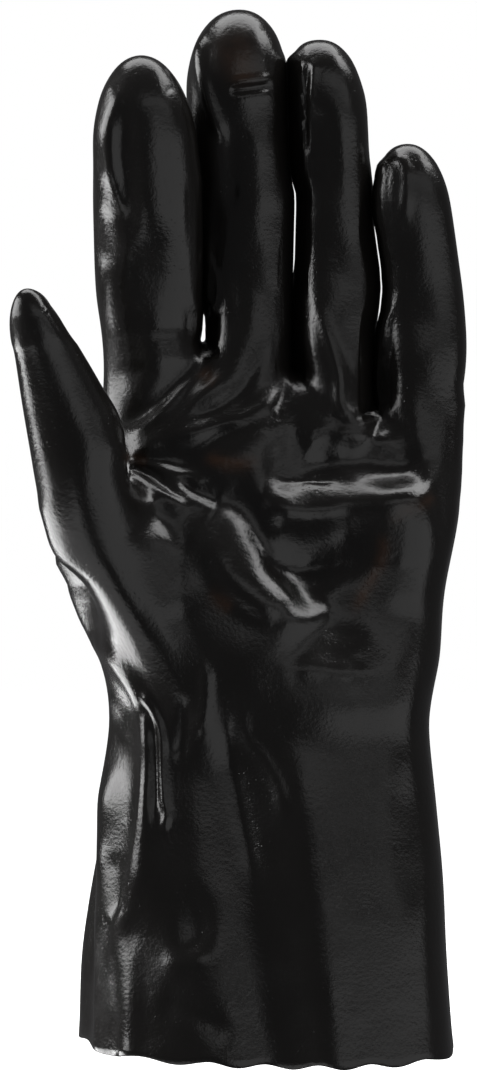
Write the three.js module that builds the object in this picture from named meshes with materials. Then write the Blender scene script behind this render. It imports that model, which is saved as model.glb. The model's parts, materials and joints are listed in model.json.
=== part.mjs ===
// A coated fabric work glove for the left hand, with a long flared cuff, in the shape that it has when worn.
// It is one dipped piece: a single wall all over, closed at five fingertips and open at the cuff.
// Millimetres. +Z runs from the cuff to the fingertips, -Y is the palm side and -X is the thumb side.
// The origin is the centre of the cuff's opening, in the plane of its rim.
import * as THREE from "three";

// Driving dimensions
const wall = 1.5;
const cuffLength = 96;
const palmLength = 110;
const rim = { width: 112, depth: 80 };
const wrist = { width: 95, depth: 57 };
const knuckles = { depth: 36 };
const thumb = { length: 119.5, width: 32, depth: 28, tip: 18, slant: 13, tipSquare: 1.8, tipLean: -0.04 };
const thumbLean = { sideways: 15.5, forward: 15 };
const rimCut = { waveHeight: 1.4, waves: 14, backRise: 4.2 };
const folds = { breadth: 5, rise: 2 };

// Each finger's length is measured from the knuckle line, and web is how far the line lies above or below it
// at the finger's little-finger side. The palm is as wide as its four fingers side by side.
// A tip's roundness is a superellipse exponent, and it leans sideways by a share of its height.
const fingers = [
  { name: "index", length: 89, width: 31, depth: 28, tip: 30, web: -2, tipSquare: 2, tipLean: 0 },
  { name: "middle", length: 103.5, width: 27, depth: 26, tip: 24, web: -10, tipSquare: 2.15, tipLean: 0.06 },
  { name: "ring", length: 94.5, width: 25, depth: 24, tip: 21, web: -26, tipSquare: 2.4, tipLean: -0.105 },
  { name: "little", length: 64, width: 26, depth: 22, tip: 22, web: -20, tipSquare: 2.2, tipLean: -0.02 },
];
const indexSideWeb = -4;
const knuckleWidth = fingers.reduce((sum, finger) => sum + finger.width, 0);

// Mesh density: segments across each finger, round each side, and rows up each part
const across = 6;
const aside = 4;
const rows = { cuff: 10, palm: 13, shaft: 8, thumbRoot: 4, thumbShaft: 6 };
const tipRings = [0.97, 0.88, 0.74];

// Roundness of the outlines, as superellipse exponents: 2 is an ellipse, and more is squarer
const square = { finger: 2.2, thumb: 2.1 };

// How far the roots of the fingers and the thumb relax into smooth saddles, fading row by row from each root
const relaxing = { rounds: 30, fingers: 0.8, fingersFade: 0.25, firstRing: 0.7, firstRingFade: 0.3 };
const relaxingThumb = { root: 0.9, trunk: 0.7, trunkFade: 0.25, free: 0.4, freeFade: 0.2 };

// Webs between the fingers: how high each arches, and how far above the lower one a finger's first ring lies
const webArch = 4;
const firstRingRise = 7;

// Trunk sections from the rim up. height is -1 at the rim, 0 at the wrist and 1 at the knuckles: a share of
// the cuff's length below the wrist and of the palm's above it. Each row follows one named size: left and
// right are shares of its width, and front and back of its depth.
// flare is how far the back left corner stands out past the front left one, as a share of the width.
const knuckleSize = { width: knuckleWidth, depth: knuckles.depth };
const sections = [
  { height: -1, of: rim, left: 0.42, right: 0.495, front: 0.46, back: 0.54, square: 3, flare: 0.145 },
  { height: -0.7, of: rim, left: 0.39, right: 0.477, front: 0.43, back: 0.49, square: 2.9, flare: 0.185 },
  { height: -0.45, of: rim, left: 0.375, right: 0.467, front: 0.4, back: 0.43, square: 2.8, flare: 0.185 },
  { height: -0.2, of: wrist, left: 0.43, right: 0.527, front: 0.52, back: 0.53, square: 2.6, flare: 0.2 },
  { height: 0, of: wrist, left: 0.415, right: 0.508, front: 0.49, back: 0.47, square: 2.5, flare: 0.15 },
  { height: 0.1, of: wrist, left: 0.375, right: 0.515, front: 0.5, back: 0.45, square: 2.4, flare: 0.1 },
  { height: 0.24, of: wrist, left: 0.6, right: 0.54, front: 0.5, back: 0.42, square: 2.3, flare: 0.02 },
  { height: 0.45, of: knuckleSize, left: 0.625, right: 0.484, front: 0.72, back: 0.6, square: 2.3, flare: 0 },
  { height: 0.7, of: knuckleSize, left: 0.49, right: 0.522, front: 0.62, back: 0.56, square: 2.5, flare: 0 },
  { height: 1, of: knuckleSize, left: 0.462, right: 0.547, front: 0.5, back: 0.5, square: 2.7, flare: 0 },
];

// Shape of each finger above the knuckle line. up is a share of the length below the rounded tip,
// side and girth are shares of the finger's width, and forward is a share of its depth.
const fingerShapes = {
  index: [
    { up: 0, side: -0.06, girth: 1.04, forward: 0.02 },
    { up: 0.3, side: -0.02, girth: 1.01, forward: 0.12 },
    { up: 0.55, side: -0.01, girth: 1.04, forward: 0.28 },
    { up: 0.8, side: -0.01, girth: 1.05, forward: 0.46 },
    { up: 1, side: -0.03, girth: 1, forward: 0.6 },
  ],
  middle: [
    { up: 0, side: 0.01, girth: 0.98, forward: 0 },
    { up: 0.3, side: 0.02, girth: 0.99, forward: 0.01 },
    { up: 0.6, side: -0.01, girth: 1, forward: 0.04 },
    { up: 0.8, side: -0.09, girth: 1.09, forward: 0.08 },
    { up: 1, side: -0.13, girth: 1.11, forward: 0.16 },
  ],
  ring: [
    { up: 0, side: 0, girth: 1, forward: 0 },
    { up: 0.3, side: 0.01, girth: 0.99, forward: 0.03 },
    { up: 0.6, side: -0.02, girth: 0.92, forward: 0.11 },
    { up: 0.8, side: -0.07, girth: 0.91, forward: 0.18 },
    { up: 1, side: -0.105, girth: 0.91, forward: 0.28 },
  ],
  little: [
    { up: 0, side: 0.01, girth: 0.98, forward: 0 },
    { up: 0.35, side: -0.01, girth: 0.96, forward: 0.04 },
    { up: 0.7, side: -0.055, girth: 0.9, forward: 0.13 },
    { up: 1, side: -0.115, girth: 0.87, forward: 0.24 },
  ],
  thumb: [
    { up: 0, side: -0.13, girth: 1.16, forward: 0 },
    { up: 0.35, side: -0.16, girth: 0.9, forward: 0.01 },
    { up: 0.7, side: -0.17, girth: 0.71, forward: 0.05 },
    { up: 1, side: -0.17, girth: 0.55, forward: 0.12 },
  ],
};

// The thumb grows from a patch of the trunk, from this row and column for so many rows and columns.
// Its free part starts at freeFrom, a share of its length.
const patch = { firstRow: rows.cuff + 1, rowCount: 7, firstColumn: -2, columnCount: 7 };
const freeFrom = 0.44;
const thumbRoot = { across: -0.3, depth: -0.27, height: 0.18 };

// Folds and dents, each along a curve from one place past another to a third. On the palm a place is shares
// of the knuckle width and of the palm's length above the wrist. On the cuff's thumb side it is shares of the
// rim's depth and of the cuff's length above the rim. breadth and rise are shares of the sizes named in
// folds: a rise stands out, or goes in if it is negative. A step stands out on the left of its curve, and goes
// in as far on the right.
const palmFolds = [
  { name: "thenar edge", from: [0.14, 0.31], via: [-0.02, 0.4], to: [-0.2, 0.64], breadth: 1.2, step: 1.3 },
  { name: "thumb crease", from: [-0.14, 0.61], via: [-0.24, 0.67], to: [-0.38, 0.7], breadth: 0.9, rise: -1.1 },
  { name: "pad edge", from: [0.02, 0.65], via: [0.22, 0.65], to: [0.4, 0.67], breadth: 1.2, rise: 1.3 },
  { name: "palm hollow", from: [0.3, 0.5], via: [0.1, 0.56], to: [0.14, 0.42], breadth: 2.6, rise: -1.6 },
  { name: "heel dent", from: [0.05, 0.16], via: [0.12, 0.2], to: [0.26, 0.16], breadth: 1.8, rise: -0.9 },
  { name: "index root", from: [-0.17, 1], via: [-0.24, 0.86], to: [-0.38, 0.79], breadth: 0.9, rise: -1.2 },
  { name: "index ridge", from: [-0.14, 0.95], via: [-0.2, 0.83], to: [-0.36, 0.75], breadth: 0.9, rise: 1 },
  { name: "middle root", from: [0.04, 0.98], via: [-0.05, 0.83], to: [-0.28, 0.75], breadth: 1, rise: -1.1 },
  { name: "ring root", from: [0.07, 0.97], via: [0.03, 0.8], to: [0.09, 0.73], breadth: 1, rise: -1 },
  { name: "ring ridge", from: [0.12, 1.1], via: [0.22, 0.86], to: [0.3, 0.77], breadth: 1, rise: 0.9 },
  { name: "little root", from: [0.28, 0.95], via: [0.26, 0.84], to: [0.33, 0.84], breadth: 1, rise: -1.1 },
];
const cuffFolds = [
  { name: "front ridge", from: [-0.03, -0.05], via: [-0.12, 0.45], to: [-0.05, 1], breadth: 1.8, rise: 1.1 },
  { name: "side valley", from: [-0.02, -0.05], via: [0.04, 0.4], to: [0.16, 0.9], breadth: 2.2, rise: -2.5 },
];

// A smooth curve through one column of a table, read at any place along its key column
function follow(table, key, column, place) {
  const last = table.length - 1;
  let i = 0;
  while (i < last - 1 && place > table[i + 1][key]) i += 1;
  const value = (n) => table[n][column];
  const slope = (n) => {
    const low = Math.max(n - 1, 0);
    const high = Math.min(n + 1, last);
    return (value(high) - value(low)) / (table[high][key] - table[low][key]);
  };
  const span = table[i + 1][key] - table[i][key];
  const t = THREE.MathUtils.clamp((place - table[i][key]) / span, 0, 1);
  const ends = value(i) * (1 + 2 * t) * (1 - t) ** 2 + value(i + 1) * t * t * (3 - 2 * t);
  return ends + span * (slope(i) * t * (1 - t) ** 2 - slope(i + 1) * t * t * (1 - t));
}

const power = (value, exponent) => Math.sign(value) * Math.abs(value) ** exponent;
const superellipse = (angle, exponent) =>
  [Math.cos(angle), Math.sin(angle)].map((value) => power(value, 2 / exponent));

// The surface under construction: points, how far each may relax, and four-cornered faces
const points = [];
const softness = [];
const faces = [];

function addPoint(position, soft = 0) {
  points.push(position);
  softness.push(soft);
  return points.length - 1;
}

function addBand(lower, upper) {
  for (let j = 0; j < lower.length; j += 1) {
    const next = (j + 1) % lower.length;
    faces.push([lower[j], lower[next], upper[next], upper[j]]);
  }
}

// Trunk: rows of points from the rim to the knuckles, each starting at its front left corner
const ringSize = 2 * (4 * across + aside);
const frontEnd = 4 * across;
const backStart = frontEnd + aside;
const backEnd = backStart + 4 * across;
const trunkRows = rows.cuff + rows.palm;

// Where each finger's slot starts across the palm, from -1 at the left to 1 at the right
const slotEdges = [-1];
for (const finger of fingers) slotEdges.push(slotEdges.at(-1) + (2 * finger.width) / knuckleWidth);

function slotPlace(step) {
  const slot = Math.min(Math.floor(step / across), fingers.length - 1);
  const share = step / across - slot;
  return THREE.MathUtils.lerp(slotEdges[slot], slotEdges[slot + 1], share);
}

// Height of the knuckle line, which drops from the index finger to the little one
const websByEdge = [indexSideWeb, ...fingers.map((finger) => finger.web)];
function knuckleHeight(place) {
  const table = slotEdges.map((edge, i) => ({ edge, drop: websByEdge[i] }));
  return cuffLength + palmLength + follow(table, "edge", "drop", THREE.MathUtils.clamp(place, -1, 1));
}

const sectionTable = sections.map((row) => ({
  height: row.height,
  left: row.left * row.of.width,
  right: row.right * row.of.width,
  front: row.front * row.of.depth,
  back: row.back * row.of.depth,
  square: row.square,
  flare: row.flare * row.of.width,
}));
const sectionAt = (column, height) => follow(sectionTable, "height", column, height);

// A section's outline, from -1 to 1 each way: points spaced across its palm side and its back, up to a share
// of the width where its two sides take over
const cornerShare = 0.965;

function trunkOutline(k, exponent) {
  if (k <= frontEnd || (k >= backStart && k <= backEnd)) {
    const front = k <= frontEnd;
    const x = cornerShare * slotPlace(front ? k : backEnd - k);
    const y = (1 - Math.abs(x) ** exponent) ** (1 / exponent);
    return [x, front ? -y : y];
  }
  const right = k < backStart;
  const share = right ? (k - frontEnd) / aside : (k - backEnd) / aside;
  const cornerDepth = (1 - cornerShare ** exponent) ** (1 / exponent);
  const turn = THREE.MathUtils.lerp(-1, 1, share);
  const depth = cornerDepth * turn;
  const reach = cornerShare + (1 - cornerShare) * Math.cos((turn * Math.PI) / 2);
  return right ? [reach, depth] : [-reach, -depth];
}

function trunkPoint(row, k) {
  const height = row <= rows.cuff ? row / rows.cuff - 1 : (row - rows.cuff) / rows.palm;
  const [x, y] = trunkOutline(k, sectionAt("square", height));
  const left = sectionAt("left", height);
  const right = sectionAt("right", height);
  const flare = (sectionAt("flare", height) * Math.max(-x, 0) * (1 + y)) / 2;
  const top = knuckleHeight(x);
  return new THREE.Vector3(
    (right - left) / 2 + (x * (left + right)) / 2 - flare,
    y * sectionAt(y < 0 ? "front" : "back", height),
    height < 0 ? (height + 1) * cuffLength : THREE.MathUtils.lerp(cuffLength, top, height),
  );
}

const lastRow = patch.firstRow + patch.rowCount;
const lastColumn = patch.firstColumn + patch.columnCount;
const inPatch = (row, column) =>
  row > patch.firstRow && row < lastRow && column > patch.firstColumn && column < lastColumn;
const opened = (row, column) =>
  row >= patch.firstRow && row < lastRow && column >= patch.firstColumn && column < lastColumn;
const signedColumn = (k) => (k > ringSize / 2 ? k - ringSize : k);

function trunkSoftness(row, k) {
  const column = signedColumn(k);
  const fromTop = trunkRows - row;
  const nearTop = relaxing.fingers - relaxing.fingersFade * fromTop;
  const beyondRows = Math.max(patch.firstRow - row, row - lastRow, 0);
  const beyondColumns = Math.max(patch.firstColumn - column, column - lastColumn, 0);
  const beyond = Math.max(beyondRows, beyondColumns);
  const nearThumb = relaxingThumb.trunk - relaxingThumb.trunkFade * beyond;
  return Math.max(nearTop, nearThumb, 0);
}

const trunk = [];
for (let row = 0; row <= trunkRows; row += 1) {
  const ring = [];
  for (let k = 0; k < ringSize; k += 1) {
    const used = !inPatch(row, signedColumn(k));
    ring.push(used ? addPoint(trunkPoint(row, k), trunkSoftness(row, k)) : -1);
  }
  trunk.push(ring);
}
for (let row = 0; row < trunkRows; row += 1) {
  for (let k = 0; k < ringSize; k += 1) {
    const next = (k + 1) % ringSize;
    const corners = [trunk[row][k], trunk[row][next], trunk[row + 1][next], trunk[row + 1][k]];
    if (!opened(row, signedColumn(k))) faces.push(corners);
  }
}
const trunkVertex = (row, column) => trunk[row][(column + ringSize) % ringSize];

// A finger or thumb: rings square to its centre line, up to a rounded tip that a grid of faces closes
function limbFrame(limb, up) {
  const shaft = limb.length - limb.tip;
  const centre = (share) =>
    limb.origin
      .clone()
      .addScaledVector(limb.direction, share * shaft)
      .addScaledVector(limb.sideways, follow(limb.shape, "up", "side", share) * limb.width)
      .addScaledVector(limb.backwards, -follow(limb.shape, "up", "forward", share) * limb.depth);
  const step = 0.02;
  const along = centre(Math.min(up + step, 1)).sub(centre(up - step)).normalize();
  const right = limb.sideways.clone().addScaledVector(along, -along.dot(limb.sideways)).normalize();
  return { centre: centre(up), along, right, back: along.clone().cross(right) };
}

function limbPoint(limb, up, radial, lift) {
  const frame = limbFrame(limb, up);
  const girth = follow(limb.shape, "up", "girth", up);
  const lean = up < 1 ? 0 : limb.tipLean * lift;
  return frame.centre
    .addScaledVector(frame.right, (radial[0] * girth * limb.width) / 2 + lean)
    .addScaledVector(frame.back, (radial[1] * girth * limb.depth) / 2)
    .addScaledVector(frame.along, lift);
}

// How far the rounded tip rises above its base, at a share of its girth
const tipLift = (limb, scale) => limb.tip * (1 - scale ** limb.tipSquare) ** (1 / limb.tipSquare);

function limbRing(limb, up, scale, soft = 0) {
  const total = 2 * (limb.frontSteps + limb.sideSteps);
  const lift = tipLift(limb, scale);
  const slant = limb.slant * (1 - up);
  const ring = [];
  for (let j = 0; j < total; j += 1) {
    const angle = limb.startAngle + (2 * Math.PI * j) / total;
    const radial = superellipse(angle, limb.square).map((value) => value * scale);
    ring.push(addPoint(limbPoint(limb, up, radial, lift + slant * radial[0]), soft));
  }
  return ring;
}

// Closes a limb's last ring with a grid whose inner points lie on the same rounded tip
function closeTip(limb, ring, scale) {
  const wide = limb.frontSteps;
  const deep = limb.sideSteps;
  const total = ring.length;
  const angle = (j) => limb.startAngle + (2 * Math.PI * j) / total;
  const border = (j) => superellipse(angle(j), limb.square).map((value) => value * scale);
  const grid = [];
  for (let v = 0; v <= deep; v += 1) {
    const line = [];
    for (let u = 0; u <= wide; u += 1) {
      if (v === 0) line.push(ring[u]);
      else if (u === wide) line.push(ring[wide + v]);
      else if (v === deep) line.push(ring[2 * wide + deep - u]);
      else if (u === 0) line.push(ring[(total - v) % total]);
      else {
        const s = u / wide;
        const t = v / deep;
        const [low, high, left, right] = [u, 2 * wide + deep - u, (total - v) % total, wide + v].map(border);
        const corners = [0, wide, wide + deep, 2 * wide + deep].map(border);
        const radial = [0, 1].map(
          (axis) =>
            (1 - t) * low[axis] + t * high[axis] + (1 - s) * left[axis] + s * right[axis] -
            (1 - s) * (1 - t) * corners[0][axis] - s * (1 - t) * corners[1][axis] -
            s * t * corners[2][axis] - (1 - s) * t * corners[3][axis],
        );
        const powers = radial.map((value) => Math.abs(value) ** limb.square);
        const size = (powers[0] + powers[1]) ** (1 / limb.square);
        line.push(addPoint(limbPoint(limb, 1, radial, tipLift(limb, size))));
      }
    }
    grid.push(line);
  }
  for (let v = 0; v < deep; v += 1) {
    for (let u = 0; u < wide; u += 1) {
      faces.push([grid[v][u], grid[v][u + 1], grid[v + 1][u + 1], grid[v + 1][u]]);
    }
  }
}

function roundTip(limb, ring) {
  let last = ring;
  for (const scale of tipRings) {
    const next = limbRing(limb, 1, scale);
    addBand(last, next);
    last = next;
  }
  closeTip(limb, last, tipRings[tipRings.length - 1]);
}

// Webs between neighbouring fingers: a low arch from the palm side to the back
function webLine(edge) {
  const front = points[trunk[trunkRows][edge * across]];
  const back = points[trunk[trunkRows][backEnd - edge * across]];
  const line = [];
  for (let i = 1; i < aside; i += 1) {
    const share = i / aside;
    const place = front.clone().lerp(back, share);
    place.z += webArch * Math.sin(Math.PI * share);
    line.push(addPoint(place, 1));
  }
  return line;
}

const top = trunk[trunkRows];
const webs = [1, 2, 3].map(webLine);
const sideLines = {
  left: Array.from({ length: aside - 1 }, (_, i) => top[ringSize - 1 - i]),
  right: Array.from({ length: aside - 1 }, (_, i) => top[frontEnd + 1 + i]),
};

fingers.forEach((finger, slot) => {
  const start = slot * across;
  const front = Array.from({ length: across + 1 }, (_, i) => top[start + i]);
  const back = Array.from({ length: across + 1 }, (_, i) => top[backEnd - start - across + i]);
  const rightSide = slot < 3 ? webs[slot] : sideLines.right;
  const leftSide = slot > 0 ? webs[slot - 1] : sideLines.left;
  let ring = [...front, ...rightSide, ...back, ...[...leftSide].reverse()];
  const middle = (slotEdges[slot] + slotEdges[slot + 1]) / 2;
  const left = sectionAt("left", 1);
  const right = sectionAt("right", 1);
  const limb = {
    ...finger,
    shape: fingerShapes[finger.name],
    origin: new THREE.Vector3((right - left) / 2 + (middle * (left + right)) / 2, 0, cuffLength + palmLength),
    direction: new THREE.Vector3(0, 0, 1),
    sideways: new THREE.Vector3(1, 0, 0),
    backwards: new THREE.Vector3(0, 1, 0),
    slant: 0,
    frontSteps: across,
    sideSteps: aside,
    square: square.finger,
    startAngle: Math.PI * (1 + aside / (2 * (across + aside))),
  };
  const lowest = Math.min(knuckleHeight(slotEdges[slot]), knuckleHeight(slotEdges[slot + 1]));
  const shaftStart = (lowest - limb.origin.z + firstRingRise) / (limb.length - limb.tip);
  for (let i = 0; i <= rows.shaft; i += 1) {
    const up = THREE.MathUtils.lerp(shaftStart, 1, i / rows.shaft);
    const next = limbRing(limb, up, 1, Math.max(0, relaxing.firstRing - relaxing.firstRingFade * i));
    addBand(ring, next);
    ring = next;
  }
  roundTip(limb, ring);
});

// Thumb: the opened patch's edge, counted from its lower front corner, leads over a root to the thumb's rings
const radians = THREE.MathUtils.degToRad;
const thumbDirection = new THREE.Vector3(
  -Math.tan(radians(thumbLean.sideways)),
  -Math.tan(radians(thumbLean.forward)),
  1,
).normalize();
const thumbSideways = new THREE.Vector3(1, 0, 0)
  .addScaledVector(thumbDirection, -thumbDirection.x)
  .normalize();
const thumbLimb = {
  ...thumb,
  shape: fingerShapes.thumb,
  origin: new THREE.Vector3(
    thumbRoot.across * knuckleWidth,
    thumbRoot.depth * wrist.depth,
    cuffLength + thumbRoot.height * palmLength,
  ).addScaledVector(thumbDirection, freeFrom * thumb.length),
  length: (1 - freeFrom) * thumb.length,
  direction: thumbDirection,
  sideways: thumbSideways,
  backwards: thumbDirection.clone().cross(thumbSideways),
  frontSteps: patch.rowCount,
  sideSteps: patch.columnCount,
  square: square.thumb,
  startAngle: Math.PI * (1 + patch.columnCount / (2 * (patch.rowCount + patch.columnCount))),
};

const patchEdge = [];
for (let row = patch.firstRow; row < lastRow; row += 1) {
  patchEdge.push(trunkVertex(row, lastColumn));
}
for (let column = lastColumn; column > patch.firstColumn; column -= 1) {
  patchEdge.push(trunkVertex(lastRow, column));
}
for (let row = lastRow; row > patch.firstRow; row -= 1) {
  patchEdge.push(trunkVertex(row, patch.firstColumn));
}
for (let column = patch.firstColumn; column < lastColumn; column += 1) {
  patchEdge.push(trunkVertex(patch.firstRow, column));
}

let thumbRing = patchEdge;
const firstFree = limbRing(thumbLimb, 0, 1, relaxingThumb.free);
for (let i = 1; i <= rows.thumbRoot; i += 1) {
  const share = i / (rows.thumbRoot + 1);
  const between = (vertex, j) => points[vertex].clone().lerp(points[firstFree[j]], share);
  const next = patchEdge.map((vertex, j) => addPoint(between(vertex, j), relaxingThumb.root));
  addBand(thumbRing, next);
  thumbRing = next;
}
addBand(thumbRing, firstFree);
thumbRing = firstFree;
for (let i = 1; i <= rows.thumbShaft; i += 1) {
  const soft = Math.max(0, relaxingThumb.free - relaxingThumb.freeFade * i);
  const next = limbRing(thumbLimb, i / rows.thumbShaft, 1, soft);
  addBand(thumbRing, next);
  thumbRing = next;
}
roundTip(thumbLimb, thumbRing);

// Relaxes the roots of the fingers and thumb into smooth saddles
function neighboursOf() {
  const sets = points.map(() => new Set());
  for (const face of faces) {
    face.forEach((vertex, i) => {
      sets[vertex].add(face[(i + 1) % 4]);
      sets[vertex].add(face[(i + 3) % 4]);
    });
  }
  return sets.map((set) => [...set]);
}

function relax(rounds) {
  const neighbours = neighboursOf();
  for (let round = 0; round < rounds; round += 1) {
    const moved = points.map((point, i) => {
      if (!softness[i]) return point.clone();
      const mean = new THREE.Vector3();
      for (const n of neighbours[i]) mean.add(points[n]);
      return point.clone().lerp(mean.divideScalar(neighbours[i].length), softness[i] / 2);
    });
    points.forEach((point, i) => point.copy(moved[i]));
  }
}

function normalsOf() {
  const normals = points.map(() => new THREE.Vector3());
  for (const [a, b, c, d] of faces) {
    const diagonal = points[c].clone().sub(points[a]);
    const normal = diagonal.cross(points[d].clone().sub(points[b]));
    for (const vertex of [a, b, c, d]) normals[vertex].add(normal);
  }
  return normals.map((normal) => normal.normalize());
}

relax(relaxing.rounds);

// Presses the folds into the surface, along its own normals
const bend = (fold, t) =>
  [0, 1].map((i) => fold.from[i] * (1 - t) ** 2 + 2 * fold.via[i] * t * (1 - t) + fold.to[i] * t * t);

const foldSteps = 16;
const endFade = 0.6;

function foldRise(fold, place, scale) {
  let nearest = { distance: Infinity };
  for (let i = 0; i <= foldSteps; i += 1) {
    const [u, v] = bend(fold, i / foldSteps).map((value, axis) => (place[axis] - value) * scale[axis]);
    const distance = Math.hypot(u, v);
    if (distance < nearest.distance) nearest = { distance, u, v, t: i / foldSteps };
  }
  const ahead = bend(fold, Math.min(nearest.t + 1 / foldSteps, 1));
  const behind = bend(fold, Math.max(nearest.t - 1 / foldSteps, 0));
  const [du, dv] = ahead.map((value, axis) => (value - behind[axis]) * scale[axis]);
  const side = Math.sign(du * nearest.v - dv * nearest.u);
  const taper = 1 - endFade * (2 * nearest.t - 1) ** 4;
  const ratio = nearest.distance / (fold.breadth * folds.breadth);
  const rise = (fold.step ?? fold.rise) * folds.rise * taper;
  if (fold.step) return rise * side * Math.tanh(ratio) * Math.exp(-((ratio / 3) ** 2));
  return rise * Math.exp(-(ratio ** 2));
}

// A fold fades where the surface turns away from the side that it lies on, or leaves the cuff
const facing = (amount) => THREE.MathUtils.smoothstep(amount, 0.1, 0.6);
const onCuff = (height) => 1 - THREE.MathUtils.smoothstep(height, cuffLength * 0.8, cuffLength * 1.1);
const normals = normalsOf();
points.forEach((point, i) => {
  const palmPlace = [point.x / knuckleWidth, (point.z - cuffLength) / palmLength];
  const cuffPlace = [point.y / rim.depth, point.z / cuffLength];
  const palmSide = facing(-normals[i].y);
  const thumbSide = facing(-normals[i].x) * onCuff(point.z);
  let rise = 0;
  for (const fold of palmFolds) rise += palmSide * foldRise(fold, palmPlace, [knuckleWidth, palmLength]);
  for (const fold of cuffFolds) rise += thumbSide * foldRise(fold, cuffPlace, [rim.depth, cuffLength]);
  point.addScaledVector(normals[i], rise);
});

// The rim is cut in shallow waves, lowest in front, right of the middle, and a little higher at the back
const lowestPoint = 0.6 * frontEnd;
trunk[0].forEach((vertex, k) => {
  const wave = (1 - Math.cos((2 * Math.PI * rimCut.waves * k) / ringSize)) / 2;
  const fromFront = (1 - Math.cos((2 * Math.PI * (k - lowestPoint)) / ringSize)) / 2;
  points[vertex].z += rimCut.waveHeight * wave + rimCut.backRise * fromFront;
});

// The wall: the outer surface, a copy moved in by the wall's thickness, and a strip between them at the rim
function shellGeometry() {
  const inward = normalsOf();
  for (const vertex of trunk[0]) inward[vertex].setZ(0).normalize();
  const outerCount = points.length;
  const position = [];
  for (const point of points) position.push(point.x, point.y, point.z);
  points.forEach((point, i) => {
    const inner = point.clone().addScaledVector(inward[i], -wall);
    position.push(inner.x, inner.y, inner.z);
  });
  const index = [];
  for (const [a, b, c, d] of faces) {
    index.push(a, b, c, a, c, d);
    index.push(...[a, c, b, a, d, c].map((vertex) => vertex + outerCount));
  }
  const edge = trunk[0];
  edge.forEach((vertex, k) => {
    const next = edge[(k + 1) % ringSize];
    index.push(vertex, vertex + outerCount, next + outerCount, vertex, next + outerCount, next);
  });
  const geometry = new THREE.BufferGeometry();
  geometry.setAttribute("position", new THREE.Float32BufferAttribute(position, 3));
  geometry.setIndex(index);
  geometry.computeVertexNormals();
  return geometry;
}

const coatedFabric = new THREE.MeshStandardMaterial({ color: 0x0b0b0a, roughness: 0.18, metalness: 0 });
const shell = new THREE.Mesh(shellGeometry(), coatedFabric);
shell.name = "glove_shell";

const glove = new THREE.Group();
glove.add(shell);
export default glove;
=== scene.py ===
import json
import math

import bmesh
import bpy
import numpy as np
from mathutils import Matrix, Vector

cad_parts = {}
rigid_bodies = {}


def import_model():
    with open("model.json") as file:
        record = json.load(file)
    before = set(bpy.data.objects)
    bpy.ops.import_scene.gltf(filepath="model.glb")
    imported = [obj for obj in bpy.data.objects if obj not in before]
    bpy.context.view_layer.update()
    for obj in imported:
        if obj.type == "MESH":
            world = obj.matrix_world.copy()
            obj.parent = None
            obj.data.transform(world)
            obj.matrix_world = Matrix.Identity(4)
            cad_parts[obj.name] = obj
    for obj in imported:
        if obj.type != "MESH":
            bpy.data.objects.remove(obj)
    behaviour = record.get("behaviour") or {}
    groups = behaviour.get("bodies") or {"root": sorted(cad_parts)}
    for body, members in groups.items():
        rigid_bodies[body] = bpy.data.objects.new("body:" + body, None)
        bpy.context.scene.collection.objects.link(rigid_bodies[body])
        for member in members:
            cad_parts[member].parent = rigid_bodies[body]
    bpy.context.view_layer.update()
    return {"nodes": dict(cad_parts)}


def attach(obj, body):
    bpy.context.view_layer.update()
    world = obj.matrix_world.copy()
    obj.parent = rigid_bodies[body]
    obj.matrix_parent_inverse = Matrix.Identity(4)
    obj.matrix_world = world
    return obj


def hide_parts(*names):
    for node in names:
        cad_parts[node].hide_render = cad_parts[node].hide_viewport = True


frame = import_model()
print("frame loaded")


# what the photograph's camera sees: places in the photograph are in pixels of its 478 x 1080 frame
photoView = {
    "imageWidth": 478,
    "imageHeight": 1080,
    "pixelSize": 0.0002973,  # metres on the glove's middle plane
    "originColumn": 267,  # the column of the cuff's centre
    "levelRow": 548.9,  # the row at the camera's own height
    "cameraHeight": 0.15,
    "distance": 1.2,
    "clipStart": 0.05,
}


def addCamera(view):
    camera = bpy.data.objects.new("photoCamera", bpy.data.cameras.new("photoCamera"))
    bpy.context.scene.collection.objects.link(camera)
    x = (view["imageWidth"] / 2 - view["originColumn"]) * view["pixelSize"]
    z = view["cameraHeight"] + (view["levelRow"] - view["imageHeight"] / 2) * view["pixelSize"]
    camera.location = (x, -view["distance"], z)
    camera.rotation_euler = (math.radians(90), 0, 0)
    frameHeight = view["imageHeight"] * view["pixelSize"]
    camera.data.lens = camera.data.sensor_width * view["distance"] / frameHeight
    camera.data.clip_start = view["clipStart"]
    bpy.context.scene.camera = camera
    return camera


camera = addCamera(photoView)


def toPixels(points, view=photoView):
    # columns and rows where the camera sees these points
    nearness = view["distance"] / (view["distance"] + points[:, 1])
    column = view["imageWidth"] / 2 + (points[:, 0] - camera.location.x) / view["pixelSize"] * nearness
    row = view["imageHeight"] / 2 - (points[:, 2] - camera.location.z) / view["pixelSize"] * nearness
    return np.stack([column, row], axis=1)


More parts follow.
